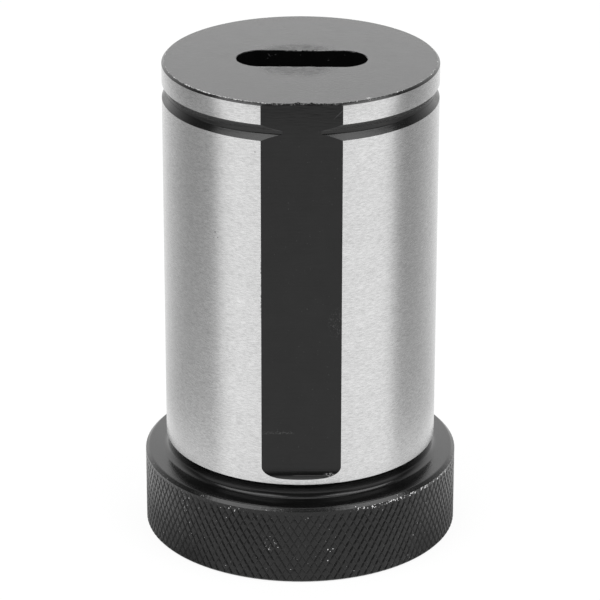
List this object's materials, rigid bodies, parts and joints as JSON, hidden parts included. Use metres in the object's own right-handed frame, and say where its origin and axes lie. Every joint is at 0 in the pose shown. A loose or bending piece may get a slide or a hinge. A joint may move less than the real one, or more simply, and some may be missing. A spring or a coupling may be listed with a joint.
{
  "type": "morse taper sleeve",
  "caption": "Round steel reducing sleeve with a knurled flange, a long clamping flat, a ring groove and a tang slot over a tapered socket.",
  "frame": {"origin": "centre of the flange's front face, on the axis", "axes": "+Z runs along the axis from the flange to the slotted end face; the clamping flat faces -Y and the tang slot runs along X"},
  "size_m": [0.0464, 0.0462, 0.0723],
  "materials": {
    "steel": "hardened steel, bright and finely ground round the shank, black oxide everywhere else"
  },
  "bodies": {
    "root": {"sleeve": "steel"}
  },
  "joints": []
}
